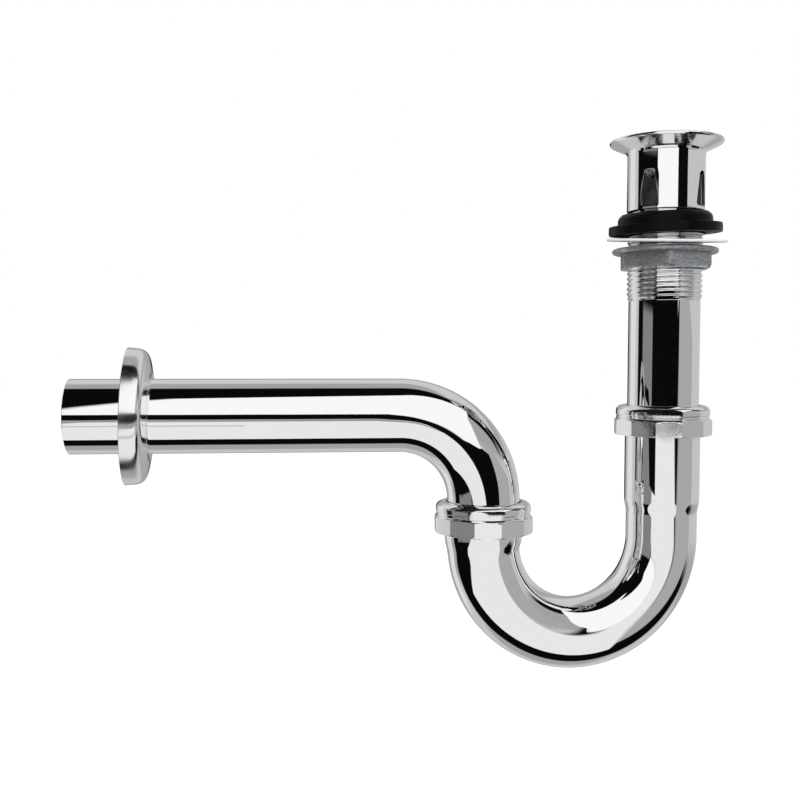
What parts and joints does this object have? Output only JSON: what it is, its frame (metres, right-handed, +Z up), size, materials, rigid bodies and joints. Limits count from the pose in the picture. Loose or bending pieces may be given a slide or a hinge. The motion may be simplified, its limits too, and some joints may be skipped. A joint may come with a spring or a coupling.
{
  "type": "basin trap",
  "caption": "Chromed P-trap with slotted basin waste, tailpiece, U-bend, slip nuts and wall outlet pipe with escutcheon.",
  "frame": {"origin": "on the waste's axis, in the plane where its flange sits on the basin", "axes": "+Z up along the waste's axis, the outlet pipe runs towards -X, +Y away from the viewer"},
  "size_m": [0.2893, 0.0651, 0.2374],
  "materials": {
    "chrome": "polished chrome plating on brass",
    "rubber": "moulded matte black",
    "white_plastic": "satin white",
    "die_cast": "dull mottled die-cast zinc",
    "brass": "turned"
  },
  "bodies": {
    "waste": {"waste_body": "chrome", "tailpiece": "chrome"},
    "clamp_rings": {"basin_gasket": "rubber", "slip_washer": "white_plastic"},
    "lock_nut": {"lock_nut": "die_cast"},
    "inlet_packing": {"inlet_packing": "rubber"},
    "u_bend": {"u_bend": "chrome", "inlet_collar": "brass", "outlet_collar": "brass"},
    "inlet_ring": {"inlet_friction_ring": "white_plastic"},
    "inlet_nut": {"inlet_nut": "chrome"},
    "outlet_packing": {"outlet_packing": "rubber"},
    "outlet_pipe": {"outlet_pipe": "chrome"},
    "outlet_ring": {"outlet_friction_ring": "white_plastic"},
    "outlet_nut": {"outlet_nut": "chrome"},
    "escutcheon": {"escutcheon": "chrome"}
  },
  "joints": [
    {"name": "clamp_slide", "type": "slide", "parent": "waste", "child": "clamp_rings", "axis": [0, 0, 1], "range_m": [-0.0139, 0.0139]},
    {"name": "lock_nut_turn", "type": "hinge", "parent": "clamp_rings", "child": "lock_nut", "pos_m": [0, 0, -0.0512], "axis": [0, 0, 1], "range_deg": [-2160, 2160]},
    {"name": "telescope_slide", "type": "slide", "parent": "waste", "child": "inlet_packing", "axis": [0, 0, 1], "range_m": [-0.02, 0.009]},
    {"name": "u_bend_swivel", "type": "hinge", "parent": "inlet_packing", "child": "u_bend", "pos_m": [0, 0, -0.1239], "axis": [0, 0, 1], "continuous": true},
    {"name": "inlet_ring_lift", "type": "slide", "parent": "u_bend", "child": "inlet_ring", "axis": [0, 0, 1], "range_m": [0, 0.0046]},
    {"name": "inlet_nut_turn", "type": "hinge", "parent": "inlet_ring", "child": "inlet_nut", "pos_m": [0, 0, -0.12415], "axis": [0, 0, 1], "range_deg": [0, 1080]},
    {"name": "outlet_swivel", "type": "hinge", "parent": "u_bend", "child": "outlet_packing", "pos_m": [-0.0845, -0.00918, -0.1655], "axis": [0, 0, 1], "range_deg": [-134, 146]},
    {"name": "outlet_slide", "type": "slide", "parent": "outlet_packing", "child": "outlet_pipe", "axis": [0, 0, 1], "range_m": [-0.001, 0.005]},
    {"name": "outlet_ring_lift", "type": "slide", "parent": "u_bend", "child": "outlet_ring", "axis": [0, 0, 1], "range_m": [0, 0.0031]},
    {"name": "outlet_nut_turn", "type": "hinge", "parent": "outlet_ring", "child": "outlet_nut", "pos_m": [-0.0845, -0.00918, -0.16575], "axis": [0, 0, 1], "range_deg": [0, 720]},
    {"name": "escutcheon_slide", "type": "slide", "parent": "outlet_pipe", "child": "escutcheon", "axis": [1, 0, 0], "range_m": [-0.0242, 0.1]}
  ],
  "couplings": [
    {"joint": "clamp_slide", "follows": "lock_nut_turn", "m_per_rad": 0.00036749},
    {"joint": "inlet_ring_lift", "follows": "inlet_nut_turn", "m_per_rad": 0.00023873},
    {"joint": "outlet_ring_lift", "follows": "outlet_nut_turn", "m_per_rad": 0.00023873}
  ]
}
